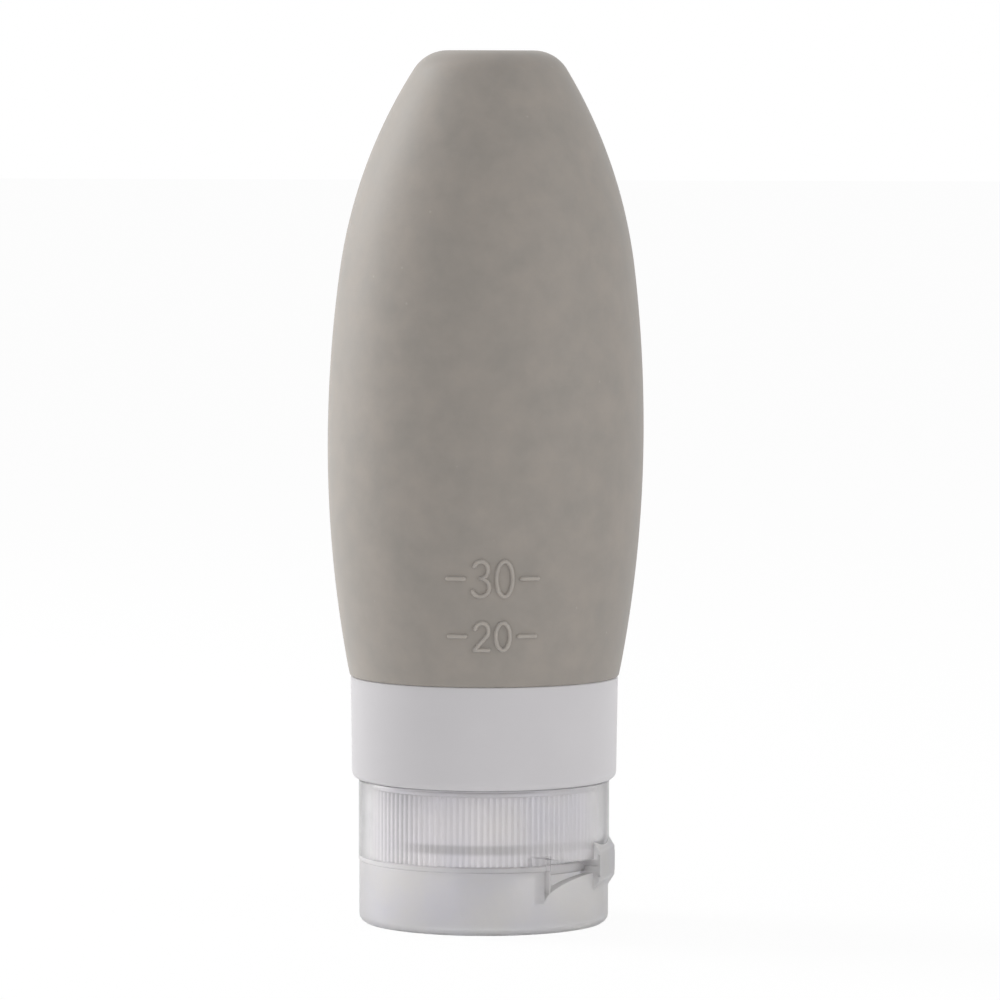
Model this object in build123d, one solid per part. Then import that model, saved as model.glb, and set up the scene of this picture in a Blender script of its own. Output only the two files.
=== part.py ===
from build123d import *
import os
from math import cos, pi, sin, sqrt

# Travel squeeze bottle. It stands on its flip-top cap, with the soft body above.
# +Z is up, and the origin is the centre of the lid's flat outer face. Sizes are in millimetres,
# and every size called a radius is measured from the bottle's axis unless it is an edge rounding.

# Cap, heights
lid_height = 9.15  # from the face that it stands on to the seam
base_height = 11.5  # from the seam to the shell's rim
seam_gap = 0.2  # between lid and shell, shut
collar_gap = 0.3  # between the shell's rim and the collar

# Screw neck and the rings that go round it, from the inside out
neck_bore = 11.8
neck_wall = 1.5
thread_depth = 0.9
thread_gap = 0.4  # room past the crest of a thread
inner_cap_wall = 1.55
knurl_depth = 0.3
knurl_count = 120
press_fit = 0.05  # between round faces that are pressed together
shell_wall = 1.7

# Lid
lid_step = 0.1  # how much smaller the lid's radius is than the shell's
lid_wall = 1.2
lid_floor = 1.3
lid_edge_round = 1.25
lid_inner_round = 0.6
register_gap = 0.3  # between the lid's bore and the shell's register ring
register_height = 0.8

# Inner cap, with its deck, outlet nozzle and valve pocket
ledge_thickness = 0.6
ledge_reach = 0.9
skirt_drop = 0.8  # from the shell's rim down to the inner cap's rim
deck_recess = 2.45  # from the seam up to the deck's outer face
deck_thickness = 1.3
nozzle_bore = 4.0
nozzle_wall = 1.2
nozzle_reach = 3.6
nozzle_round = 0.3
pocket_wall = 1.2
snap_height = 0.5
snap_reach = 0.3

# Plug ring inside the lid, which shuts the nozzle
plug_clearance = 0.1
plug_wall = 1.0
plug_overlap = 1.6
plug_round = 0.3

# Slit valve and its ring
valve_radius = 7.0
valve_flange = 1.0
valve_mouth = 5.0  # radius at the foot of the dome
valve_rise = 1.5  # the dome's inner face above the deck
valve_skin = 0.7
slit_length = 4.4
slit_width = 0.12
valve_ring_height = 1.4
valve_ring_bore = 5.3

# Butterfly hinge
hinge_azimuth = 74  # degrees round from the front towards +X
pad_half_width = 4.2
pad_stand = 0.4  # how far the pads' flat face lies outside the shell's radius
pad_half_height = 3.5
pad_slope_height = 1.4
film_thickness = 0.3
film_half_height = 1.6
fold_gap = 0.3  # between the two pads when the lid is folded right back
window_half_width = 12.8
lid_window_near = 1.0  # depths of the scooped windows beside the pads and at their far ends
lid_window_far = 4.6
shell_window_near = 1.0
shell_window_far = 2.2
window_start_share = 0.4  # of the shell's radius, from the axis towards the hinge

# Finger scoop in the shell, opposite the hinge
scoop_radius = 12.0
scoop_depth = 0.8
scoop_rise = 1.6

# Collar
collar_height = 14.9
collar_wall = 1.2
collar_flare = 0.2  # the radius grows this much from the lower edge to the upper one
collar_lip = 1.5
collar_lower_round = 1.1
collar_upper_round = 0.25

# Neck insert, above its thread
flange_thickness = 1.4
funnel_step = 2.4  # how much wider the spigot's bore is than the neck's
funnel_height = 1.4
spigot_wall = 1.6
spigot_drop = 1.6  # from the collar's upper edge down to the spigot's end
groove_height = 1.5
groove_depth = 0.6
groove_rise = 3.3  # from the flange up to the groove
gasket_thickness = 1.0
gasket_gap = 0.3

# Silicone body
sleeve_wall = 2.1
bead_clearance = 0.05
body_wall = 1.8
mouth_overhang = 0.1
mouth_round = 0.5
throat_drop = 0.8  # from the mouth's shoulder down to where the throat starts to open
throat_rise = 2.5
throat_flare = 0.5
body_height = 90.55
body_radius = 22.85
top_round = 5.7
# Where the outline's arcs meet, as shares of body_radius and of body_height
widest_height_share = 0.381
shoulder_shares = (0.9325, 0.650)
top_corner_share = 0.405

shell_rim_round = 0.5
overrun = 1.0  # how far cutting shapes run past what they cut

# Radii worked out from the inside out
neck_core = neck_bore + neck_wall
thread_room = neck_core + thread_depth + thread_gap
knurl_root = thread_room + inner_cap_wall
knurl_crest = knurl_root + knurl_depth
shell_bore = knurl_crest + press_fit
cap_radius = shell_bore + shell_wall
lid_radius = cap_radius - lid_step
lid_bore = lid_radius - lid_wall
plug_radius = nozzle_bore - plug_clearance
pocket_bore = valve_radius + press_fit

spigot_bore = neck_bore + funnel_step
spigot_radius = spigot_bore + spigot_wall
sleeve_bore = spigot_radius + press_fit
sleeve_radius = sleeve_bore + sleeve_wall
collar_bore = sleeve_radius + press_fit
collar_low_radius = collar_bore + collar_wall
collar_top_radius = collar_low_radius + collar_flare
mouth_radius = collar_top_radius + mouth_overhang

# Heights worked out from the floor up
lid_top = lid_height - seam_gap / 2
shell_bottom = lid_height + seam_gap / 2
ledge_top = shell_bottom + ledge_thickness
shell_top = lid_height + base_height
skirt_top = shell_top - skirt_drop
deck_bottom = lid_height + deck_recess
deck_top = deck_bottom + deck_thickness
nozzle_tip = deck_bottom - nozzle_reach
plug_tip = nozzle_tip + plug_overlap
valve_top = deck_top + valve_flange
valve_ring_top = valve_top + valve_ring_height
pocket_top = valve_ring_top + snap_height
neck_rim = deck_top + gasket_thickness
collar_bottom = shell_top + collar_gap
flange_bottom = collar_bottom + collar_lip
flange_top = flange_bottom + flange_thickness
collar_top = collar_bottom + collar_height
spigot_top = collar_top - spigot_drop
groove_bottom = flange_top + groove_rise
body_top = collar_top + body_height

# The hinge's own frame has +X out through the middle of the pads
pad_face = cap_radius + pad_stand
pad_root = sqrt(cap_radius**2 - pad_half_width**2)
hinge_radius = pad_face + fold_gap / 2
hinge_frame = Rot(0, 0, hinge_azimuth - 90)
window_start = window_start_share * cap_radius


def turned(outline, rounds=()):
    """A solid turned about the axis from a closed outline of (radius, height) points.

    rounds lists the corners to soften, each as (corner, edge radius).
    """
    face = make_face(Polyline(*outline, close=True))
    for corner, edge_radius in rounds:
        vertex = face.vertices().sort_by_distance(Vector(*corner))[0]
        face = fillet(vertex, edge_radius)
    return revolve(Plane.XZ * face, Axis.Z)


def tube(outer, inner, low, high):
    """A plain ring between two radii and two heights."""
    return turned([(inner, low), (outer, low), (outer, high), (inner, high)])


def disc(radius, low, high):
    """A plain cylinder on the axis."""
    return turned([(0, low), (radius, low), (radius, high), (0, high)])


def across(outline, half_width):
    """A prism through the hinge's frame, from an outline of (outward, height) points."""
    face = make_face(Polyline(*outline, close=True))
    return extrude(Plane.XZ * face, half_width, both=True)


def hinge_pad(seam_edge, far_edge):
    """Half of the hinge's raised pad: a flat face that slopes back to the wall at its far edge."""
    way = 1 if far_edge > seam_edge else -1
    inner = cap_radius - shell_wall / 2
    pad = across(
        [
            (inner, seam_edge),
            (pad_face, seam_edge),
            (pad_face, far_edge - way * pad_slope_height),
            (pad_root, far_edge),
            (inner, far_edge),
        ],
        pad_half_width,
    )
    film_side = lid_height + way * film_half_height
    recess = across(
        [
            (pad_face - film_thickness, seam_edge - way * overrun),
            (pad_face + overrun, seam_edge - way * overrun),
            (pad_face + overrun, film_side),
            (pad_face - film_thickness, film_side),
        ],
        pad_half_width + overrun,
    )
    return pad - recess


def hinge_windows(near_depth, far_depth, way, past_seam):
    """Cutters for the windows beside the hinge, above the seam (way 1) or below it (-1).

    Each edge is a quarter of an ellipse, level beside the pad and upright at the far end.
    """
    edge = lid_height - way * past_seam
    near = (pad_half_width, lid_height + way * near_depth)
    far = (window_half_width, lid_height + way * far_depth)
    middle = (pad_half_width, lid_height + way * far_depth)
    quarter = 90
    scoop = EllipticalCenterArc(
        middle,
        window_half_width - pad_half_width,
        far_depth - near_depth,
        start_angle=-quarter if way > 0 else 0,
        arc_size=quarter,
    )
    sides = Polyline(near, (pad_half_width, edge), (window_half_width, edge), far)
    face = make_face(scoop.edges() + sides.edges())
    length = pad_face + overrun - window_start
    cutter = extrude(Plane.YZ.offset(window_start) * face, length)
    return cutter + mirror(cutter, Plane.XZ)


def make_cap_shell():
    """The clear outer shell: wall, ledge for the inner cap, register ring, hinge half and finger scoop."""
    register_radius = lid_bore - register_gap
    ledge_bore = shell_bore - ledge_reach
    wall = turned(
        [
            (shell_bore, ledge_top),
            (ledge_bore, ledge_top),
            (ledge_bore, shell_bottom - register_height),
            (register_radius, shell_bottom - register_height),
            (register_radius, shell_bottom),
            (cap_radius, shell_bottom),
            (cap_radius, shell_top),
            (shell_bore, shell_top),
        ],
        [((cap_radius, shell_top), min(shell_rim_round, shell_wall / 3))],
    )
    pad = hinge_pad(shell_bottom, lid_height + pad_half_height)
    windows = hinge_windows(shell_window_near, shell_window_far, 1, register_height + overrun)
    scoop_centre = cap_radius - scoop_depth + scoop_radius
    scoop = Pos(-scoop_centre, 0, lid_height + scoop_rise) * Sphere(scoop_radius)
    return wall + hinge_frame * pad - hinge_frame * windows - hinge_frame * scoop


def make_inner_cap():
    """The threaded cap pressed into the shell, knurled outside, with deck, nozzle and valve pocket."""
    ridges = []
    for index in range(knurl_count):
        crest_angle = 2 * pi * index / knurl_count
        root_angle = crest_angle + pi / knurl_count
        ridges.append((knurl_crest * cos(crest_angle), knurl_crest * sin(crest_angle)))
        ridges.append((knurl_root * cos(root_angle), knurl_root * sin(root_angle)))
    knurled = make_face(Polyline(*ridges, close=True))
    blank = extrude(Pos(0, 0, ledge_top) * knurled, skirt_top - ledge_top)
    blank -= disc(thread_room, ledge_top - overrun, deck_bottom)
    blank -= disc(thread_room, deck_top, skirt_top + overrun)
    nozzle = turned(
        [
            (nozzle_bore, nozzle_tip),
            (nozzle_bore + nozzle_wall, nozzle_tip),
            (nozzle_bore + nozzle_wall, deck_top),
            (nozzle_bore, deck_top),
        ],
        [((nozzle_bore + nozzle_wall, nozzle_tip), min(nozzle_round, nozzle_wall / 3))],
    )
    snap_bore = pocket_bore - snap_reach
    pocket = turned(
        [
            (pocket_bore, deck_bottom),
            (pocket_bore + pocket_wall, deck_bottom),
            (pocket_bore + pocket_wall, pocket_top),
            (snap_bore, pocket_top),
            (snap_bore, valve_ring_top),
            (pocket_bore, valve_ring_top),
        ]
    )
    return blank + pocket + nozzle - disc(nozzle_bore, nozzle_tip - overrun, deck_top + overrun)


def make_lid():
    """The flip lid, with its plug ring, its half of the hinge and of the hinge windows."""
    cup = turned(
        [
            (0, 0),
            (lid_radius, 0),
            (lid_radius, lid_top),
            (lid_bore, lid_top),
            (lid_bore, lid_floor),
            (plug_radius, lid_floor),
            (plug_radius, plug_tip),
            (plug_radius - plug_wall, plug_tip),
            (plug_radius - plug_wall, lid_floor),
            (0, lid_floor),
        ],
        [
            ((lid_radius, 0), lid_edge_round),
            ((lid_bore, lid_floor), lid_inner_round),
            ((plug_radius, plug_tip), min(plug_round, plug_wall / 3)),
        ],
    )
    pad = hinge_pad(lid_top, lid_height - pad_half_height)
    windows = hinge_windows(lid_window_near, lid_window_far, -1, overrun)
    return cup + hinge_frame * pad - hinge_frame * windows


def make_hinge_film():
    """The living hinge: a thin strip let into both pads, across the seam."""
    low = lid_height - film_half_height
    high = lid_height + film_half_height
    inner = pad_face - film_thickness
    strip = [(inner, low), (pad_face, low), (pad_face, high), (inner, high)]
    return hinge_frame * across(strip, pad_half_width)


def make_slit_valve():
    """The silicone valve: a flange, and a thin dome that two crossed slits cut into four petals."""
    dome_foot = deck_top
    inner_top = deck_top + valve_rise
    arc_share = 0.5
    under = ThreePointArc(
        (valve_mouth, dome_foot),
        (valve_mouth * sqrt(1 - arc_share), dome_foot + valve_rise * arc_share),
        (0, inner_top),
    )
    over = ThreePointArc(
        (0, inner_top + valve_skin),
        (valve_mouth * sqrt(1 - arc_share), valve_top + (inner_top + valve_skin - valve_top) * arc_share),
        (valve_mouth, valve_top),
    )
    rim = Polyline(
        (valve_mouth, valve_top), (valve_radius, valve_top), (valve_radius, dome_foot), (valve_mouth, dome_foot)
    )
    middle = Line((0, inner_top), (0, inner_top + valve_skin))
    face = make_face([under, middle, over] + rim.edges())
    valve = revolve(Plane.XZ * face, Axis.Z)
    slit = Box(slit_length, slit_width, valve_rise + valve_skin + overrun)
    slit = Pos(0, 0, inner_top) * slit
    return valve - slit - Rot(0, 0, 90) * slit


def make_valve_ring():
    """The stiff ring that snaps in over the valve's flange."""
    return tube(valve_radius, valve_ring_bore, valve_top, valve_ring_top)


def make_neck_gasket():
    """The washer between the neck's rim and the deck."""
    return tube(thread_room - gasket_gap, neck_bore, deck_top, neck_rim)


def make_neck_insert():
    """The stiff neck: the core of its thread, a flange, and the grooved spigot that fills the mouth."""
    groove_radius = spigot_radius - groove_depth
    groove_top = groove_bottom + groove_height
    return turned(
        [
            (neck_bore, neck_rim),
            (neck_core, neck_rim),
            (neck_core, flange_bottom),
            (sleeve_radius, flange_bottom),
            (sleeve_radius, flange_top),
            (spigot_radius, flange_top),
            (spigot_radius, groove_bottom),
            (groove_radius, groove_bottom),
            (groove_radius, groove_top),
            (spigot_radius, groove_top),
            (spigot_radius, spigot_top),
            (spigot_bore, spigot_top),
            (spigot_bore, flange_top + funnel_height),
            (neck_bore, flange_bottom),
        ],
        [((spigot_radius, spigot_top), spigot_wall / 3)],
    )


def make_collar():
    """The outer sleeve ring, whose lip carries the insert's flange."""
    return turned(
        [
            (thread_room, collar_bottom),
            (collar_low_radius, collar_bottom),
            (collar_top_radius, collar_top),
            (collar_bore, collar_top),
            (collar_bore, flange_bottom),
            (thread_room, flange_bottom),
        ],
        [
            ((collar_low_radius, collar_bottom), min(collar_lower_round, collar_lip)),
            ((collar_top_radius, collar_top), min(collar_upper_round, collar_wall / 3)),
        ],
    )


def body_outline(inset, foot):
    """Arcs from foot up the flank and shoulder to the blunt top, moved in by inset, and the top's corner."""
    radius = body_radius - inset
    height = body_height - inset
    widest = (radius, collar_top + widest_height_share * height)
    shoulder = (shoulder_shares[0] * radius, collar_top + shoulder_shares[1] * height)
    corner = (top_corner_share * radius, collar_top + height)
    flank_low = TangentArc(widest, foot, tangent=(0, -1))
    flank_high = TangentArc(widest, shoulder, tangent=(0, 1))
    crown = TangentArc(shoulder, corner, tangent=flank_high % 1)
    top = Line(corner, (0, collar_top + height))
    return [flank_low, flank_high, crown, top], corner


def make_silicone_body():
    """The soft bottle: a hollow blunt egg whose thick sleeve fills the gap between insert and collar."""
    mouth = (mouth_radius, collar_top)
    outline, corner = body_outline(0, mouth)
    stem = Polyline(mouth, (sleeve_radius, collar_top), (sleeve_radius, flange_top), (0, flange_top), (0, body_top))
    face = make_face(outline + stem.edges())
    for point, edge_radius in ((corner, top_round), (mouth, mouth_round)):
        vertex = face.vertices().sort_by_distance(Vector(*point))[0]
        face = fillet(vertex, edge_radius)
    outside = revolve(Plane.XZ * face, Axis.Z)

    throat = (mouth_radius - body_wall + throat_flare, collar_top + throat_rise)
    outline, corner = body_outline(body_wall, throat)
    bead_bore = sleeve_bore - groove_depth
    bead_low = groove_bottom + bead_clearance
    bead_high = groove_bottom + groove_height - bead_clearance
    stem = Polyline(
        throat,
        (sleeve_bore, collar_top - throat_drop),
        (sleeve_bore, bead_high),
        (bead_bore, bead_high),
        (bead_bore, bead_low),
        (sleeve_bore, bead_low),
        (sleeve_bore, flange_top - overrun),
        (0, flange_top - overrun),
        (0, body_top - body_wall),
    )
    face = make_face(outline + stem.edges())
    vertex = face.vertices().sort_by_distance(Vector(*corner))[0]
    face = fillet(vertex, max(top_round - body_wall, top_round / 3))
    inside = revolve(Plane.XZ * face, Axis.Z)
    return outside - inside


parts = {
    "lid": make_lid(),
    "hinge_film": make_hinge_film(),
    "cap_shell": make_cap_shell(),
    "inner_cap": make_inner_cap(),
    "slit_valve": make_slit_valve(),
    "valve_ring": make_valve_ring(),
    "neck_gasket": make_neck_gasket(),
    "neck_insert": make_neck_insert(),
    "collar": make_collar(),
    "silicone_body": make_silicone_body(),
}

for name, solid in parts.items():
    export_step(solid, f"parts/{name}.step")
    print(name, "volume", round(solid.volume, 1))

print("overall height", body_top, "cap radius", cap_radius, "collar radius", collar_low_radius)
print("hinge axis at radius", hinge_radius, "and height", lid_height)
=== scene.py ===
# %% [markdown]
# # A travel squeeze bottle that stands on its cap
#
# The real object is three things in one line: a soft silicone bottle, a stiff milky collar that
# clamps the bottle's mouth, and a clear flip-top cap screwed up inside the collar. Nearly all of it
# is round, so most pieces here are outlines turned about one axis. What makes it look real is small:
# rounded edges that catch light, the knurled ring seen through clear plastic, and a soft grain.
#
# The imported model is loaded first. It fixes every size and place, and nothing below moves it.

from math import asin, atan2, cos, exp, hypot, log, pi, radians, sin, sqrt, tan

import bmesh
import bpy
import numpy as np
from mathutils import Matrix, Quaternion, Vector


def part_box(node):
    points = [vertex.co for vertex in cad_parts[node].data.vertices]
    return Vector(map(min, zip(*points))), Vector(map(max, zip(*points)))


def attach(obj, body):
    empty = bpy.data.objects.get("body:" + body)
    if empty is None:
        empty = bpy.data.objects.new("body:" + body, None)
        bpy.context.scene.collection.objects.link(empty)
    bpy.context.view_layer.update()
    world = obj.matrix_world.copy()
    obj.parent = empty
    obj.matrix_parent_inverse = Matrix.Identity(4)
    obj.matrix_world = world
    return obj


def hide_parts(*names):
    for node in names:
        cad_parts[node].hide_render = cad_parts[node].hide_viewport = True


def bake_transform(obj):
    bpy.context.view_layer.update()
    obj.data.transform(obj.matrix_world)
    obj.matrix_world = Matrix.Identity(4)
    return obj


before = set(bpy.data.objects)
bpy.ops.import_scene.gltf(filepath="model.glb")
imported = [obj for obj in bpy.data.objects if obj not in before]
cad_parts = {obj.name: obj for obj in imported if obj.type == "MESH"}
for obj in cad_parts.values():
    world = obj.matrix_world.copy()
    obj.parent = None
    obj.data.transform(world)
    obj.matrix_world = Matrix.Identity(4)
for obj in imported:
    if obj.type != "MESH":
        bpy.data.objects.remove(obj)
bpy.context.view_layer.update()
mm = 0.001

# %% [markdown]
# ## The camera
#
# A product photograph like this one is taken with a long lens from far away, so the sides hardly
# converge. The curves of the collar's two edges give the tilt: they are ellipses, and how deep they
# are against how wide says that the camera looks down by just under four degrees. Their right ends
# hang a touch lower than their left ones, so the camera was also rolled by a sixth of a degree. The
# camera comes first, because every later choice is judged through it.

# %% Make the camera
camera_tilt = radians(3.83)
camera_roll = radians(0.17)
camera_distance = 948 * mm
camera_aim = Vector((2.2 * mm, 0, 61.37 * mm))
focal_pixels = 6540
picture_pixels = 1000
film_width = 36


def placed(name, data):
    """A new object in the scene that shows the data."""
    thing = bpy.data.objects.new(name, data)
    bpy.context.scene.collection.objects.link(thing)
    return thing


camera = placed("product_camera", bpy.data.cameras.new("product_camera"))
camera.data.sensor_width = film_width
camera.data.lens = film_width * focal_pixels / picture_pixels
camera.location = camera_aim + camera_distance * Vector((0, -cos(camera_tilt), sin(camera_tilt)))
pitched = Quaternion((1, 0, 0), pi / 2 - camera_tilt)
rolled = Quaternion((0, 0, 1), camera_roll)
camera.rotation_euler = (pitched @ rolled).to_euler()
bpy.context.scene.camera = camera
print("lens", round(camera.data.lens, 1), "mm")

# %% [markdown]
# ## Sizes
#
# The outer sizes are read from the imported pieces, so this scene follows them. A wall or a small
# rounding that no box can show is written here as a real size in millimetres. Heights are measured
# from the face that the bottle stands on, and radii from its axis.

# %% Read the sizes of the cap
inner_cap_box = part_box("inner_cap")
film_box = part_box("hinge_film")

cap_radius = -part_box("cap_shell")[0].x
seam_gap = 0.08 * mm
lid_height = (film_box[0].z + film_box[1].z) / 2
shell_bottom = lid_height + seam_gap / 2

knurl_crest = inner_cap_box[1].x
knurl_depth = 0.3 * mm
shell_bore = knurl_crest + 0.05 * mm
thread_room = knurl_crest - knurl_depth - 1.55 * mm
ledge_top = shell_bottom + 0.6 * mm
deck_bottom = lid_height + 2.45 * mm
deck_top = deck_bottom + 1.3 * mm
print("cap radius", round(cap_radius / mm, 2), "seam at", round(lid_height / mm, 2))

# %% Read the sizes of the collar, neck and bottle
collar_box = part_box("collar")
insert_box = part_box("neck_insert")
bottle_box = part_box("silicone_body")

collar_bottom = collar_box[0].z
collar_top = collar_box[1].z
collar_top_radius = collar_box[1].x
sleeve_radius = insert_box[1].x
collar_lip = 1.5 * mm

neck_bore = 11.8 * mm
neck_rim = insert_box[0].z
spigot_top = insert_box[1].z
spigot_radius = 15.8 * mm
spigot_bore = 14.2 * mm
flange_bottom = collar_bottom + collar_lip
flange_top = bottle_box[0].z
flange_inside = flange_top + 1.4 * mm

bottle_top = bottle_box[1].z
bottle_radius = bottle_box[1].x
bottle_height = bottle_top - collar_top
bottle_wall = 1.8 * mm
mouth_radius = collar_top_radius + 0.1 * mm
print("bottle radius", round(bottle_radius / mm, 2), "height", round(bottle_height / mm, 2))

# %% [markdown]
# ## Outlines with softened corners
#
# No moulded edge is perfectly sharp, and the thin highlight on a rounded edge is what the eye reads
# as plastic or rubber. An outline is a list of corners, each with its own edge radius, and `soften`
# swaps each corner for a short arc. A bevel modifier could do this after the turning, but it struggles
# where cuts meet curves. Rounding the outline itself always gives clean rows of faces.

# %% A helper that rounds the corners of an outline
edge = 0.12 * mm
arc_steps = 4
least_bend = radians(2)
most_bend = radians(178)


def soften(corners, steps=arc_steps):
    """Turns (out, height, edge radius) corners of a closed outline into points, each corner an arc."""
    points = []
    for index, (out, height, radius) in enumerate(corners):
        here = Vector((out, height))
        if radius == 0:
            points.append(here)
            continue
        before = Vector(corners[index - 1][:2]) - here
        after = Vector(corners[(index + 1) % len(corners)][:2]) - here
        room = min(before.length, after.length) / 2
        bend = pi - before.angle(after) if room > 0 else 0
        if bend < least_bend or bend > most_bend:
            points += [here] * (steps + 1)
            continue
        setback = min(radius * tan(bend / 2), room)
        inward = (before.normalized() + after.normalized()).normalized()
        centre = here + inward * (setback / sin(bend / 2))
        spoke = here + before.normalized() * setback - centre
        way = 1 if before.x * after.y - before.y * after.x < 0 else -1
        for step in range(steps + 1):
            turn = way * bend * step / steps
            swung = (spoke.x * cos(turn) - spoke.y * sin(turn), spoke.x * sin(turn) + spoke.y * cos(turn))
            points.append(centre + Vector(swung))
    return [(point.x, point.y) for point in points]


print("a square with softened corners has", len(soften([(0, 0, 1), (9, 0, 1), (9, 9, 1), (0, 9, 1)])))

# %% [markdown]
# ## Rings of points joined into skins
#
# Every turned or swept piece below is the same thing: a row of rings with equally many points, joined
# by four-sided faces. Where points fall together, as on the axis, the doubles are merged. Faces are
# shaded smooth, edges sharper than 35 degrees stay crisp, and a weighted normal modifier keeps wide
# flat faces flat beside their thin rounded edges.

# %% Helpers that join rings of points into a mesh
sharp_angle = radians(35)
merge_distance = 0.0002 * mm


def take_shape(mesh, work):
    """Moves the worked faces into the mesh and sets its shading."""
    work.to_mesh(mesh)
    work.free()
    mesh.shade_smooth()
    mesh.set_sharp_from_angle(angle=sharp_angle)


def skin(name, rings, closed=True):
    """Joins rings of points into one object. The last ring joins the first, or else both get a face."""
    per_ring = len(rings[0])
    vertices = [tuple(point) for ring in rings for point in ring]
    faces = []
    for row in range(len(rings) if closed else len(rings) - 1):
        here = row * per_ring
        there = (row + 1) % len(rings) * per_ring
        for step in range(per_ring):
            beside = (step + 1) % per_ring
            faces.append((here + step, here + beside, there + beside, there + step))
    if not closed:
        faces.append(tuple(range(per_ring)))
        faces.append(tuple(range((len(rings) - 1) * per_ring, len(rings) * per_ring)))
    mesh = bpy.data.meshes.new(name)
    mesh.from_pydata(vertices, [], faces)
    work = bmesh.new()
    work.from_mesh(mesh)
    bmesh.ops.remove_doubles(work, verts=work.verts, dist=merge_distance)
    bmesh.ops.dissolve_degenerate(work, edges=work.edges, dist=merge_distance)
    bmesh.ops.recalc_face_normals(work, faces=work.faces)
    take_shape(mesh, work)
    piece = placed(name, mesh)
    piece.modifiers.new("weighted_normals", "WEIGHTED_NORMAL").keep_sharp = True
    print(name, "has", len(mesh.polygons), "faces")
    return piece


# %% Helpers that turn an outline round the axis
def ring_at(outline, angle):
    """An (out, height) outline stood upright at that angle round the axis."""
    return [(out * cos(angle), out * sin(angle), height) for out, height in outline]


def turned(name, corners, stations=192):
    """An outline of (out, height, edge radius) corners turned about the bottle's axis."""
    outline = soften(corners)
    return skin(name, [ring_at(outline, 2 * pi * station / stations) for station in range(stations)])


# %% [markdown]
# ## Where a piece belongs
#
# The cap, the lid, the sealing washer and the bottle move on their own, so each piece is told which
# of those bodies it rides on, which imported node it stands for, and which material it shows.

# %% A helper that settles a piece on its body
def settle(piece, body, slot, material, *nodes):
    """Gives the piece its material and the body that it rides on, and hides the nodes it stands for. The
    slot is not used.
    """
    piece.data.materials.append(material)
    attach(piece, body)
    if nodes:
        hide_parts(*nodes)


# %% [markdown]
# ## Effects that the finishes share
#
# Four small effects appear on more than one of these materials, so each is a node group that is
# built once and placed with its own values. Coordinates are the object's own, in millimetres, so the
# effects stay glued to a piece when it moves and need no unwrapping.
#
# The first is the fine grain of a moulded surface: two sizes of noise added into one height, for a
# bump. The second is mottling: soft patches where the colour and the gloss drift a little, as they do
# on rubber that has been handled. The third is flow: faint level streaks round the axis, left where
# melted plastic ran round the mould. The fourth is a few stray specks.

# %% Helpers for nodes
def add_node(tree, kind, links=(), **settings):
    """Adds a node, sets its properties, and links or sets its inputs given as (input, source or value)."""
    node = tree.nodes.new(kind)
    for key, value in settings.items():
        setattr(node, key, value)
    for socket, source in links:
        if isinstance(source, bpy.types.NodeSocket):
            tree.links.new(source, node.inputs[socket])
        else:
            node.inputs[socket].default_value = source
    return node


def reckon(tree, operation, *values):
    """The result of one Math node on sockets or numbers."""
    return add_node(tree, "ShaderNodeMath", enumerate(values), operation=operation).outputs[0]


def ramp(tree, value, low, high, first=0.0, last=1.0, shape="SMOOTHSTEP"):
    """A change from one value to another as the input goes from low to high."""
    ends = [("Value", value), ("From Min", low), ("From Max", high), ("To Min", first), ("To Max", last)]
    return add_node(tree, "ShaderNodeMapRange", ends, interpolation_type=shape).outputs["Result"]


def noise(tree, place, scale, detail, roughness=0.5):
    """Soft noise between 0 and 1, with about scale waves to a millimetre."""
    looks = [("Vector", place), ("Scale", scale), ("Detail", detail), ("Roughness", roughness)]
    return add_node(tree, "ShaderNodeTexNoise", looks).outputs["Fac"]


def in_millimetres(tree, stretch=(1, 1, 1)):
    """The object's own coordinates in millimetres, stretched where an effect runs one way."""
    place = add_node(tree, "ShaderNodeTexCoord").outputs["Object"]
    sizes = [("Vector", place), ("Scale", [share / mm for share in stretch])]
    return add_node(tree, "ShaderNodeMapping", sizes).outputs["Vector"]


# %% Helpers for node groups
def socket_kind(is_colour):
    """The name that Blender has for a socket of a colour or of a number."""
    return "NodeSocketColor" if is_colour else "NodeSocketFloat"


def open_group(name, inputs):
    """A new node group and its inputs. An input that starts as a tuple is a colour."""
    group = bpy.data.node_groups.new(name, "ShaderNodeTree")
    for title, value in inputs.items():
        kind = socket_kind(isinstance(value, tuple))
        group.interface.new_socket(name=title, in_out="INPUT", socket_type=kind).default_value = value
    return group, group.nodes.new("NodeGroupInput").outputs


def close_group(group, results):
    """Gives the group its outputs, each linked to the socket that holds its result."""
    for title, source in results.items():
        kind = socket_kind(source.type == "RGBA")
        group.interface.new_socket(name=title, in_out="OUTPUT", socket_type=kind)
    group_out = group.nodes.new("NodeGroupOutput")
    for title, source in results.items():
        group.links.new(source, group_out.inputs[title])
    print("group", group.name, "gives", ", ".join(results))


# %% Grain: the height of a fine moulded texture
coarse_size = 0.12

grain, grain_in = open_group("moulded_grain", {"Grains per mm": 4.0, "Coarse share": 0.5})
grain_place = in_millimetres(grain)
fine_noise = noise(grain, grain_place, grain_in["Grains per mm"], detail=3.0)
coarse_scale = reckon(grain, "MULTIPLY", grain_in["Grains per mm"], coarse_size)
coarse_noise = noise(grain, grain_place, coarse_scale, detail=2.0)
grain_shares = [("Factor", grain_in["Coarse share"]), ("A", fine_noise), ("B", coarse_noise)]
grain_mix = add_node(grain, "ShaderNodeMix", grain_shares)
close_group(grain, {"Height": grain_mix.outputs["Result"]})

# %% Mottling: soft patches of colour and gloss
patch_range = (0.3, 0.7)

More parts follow.
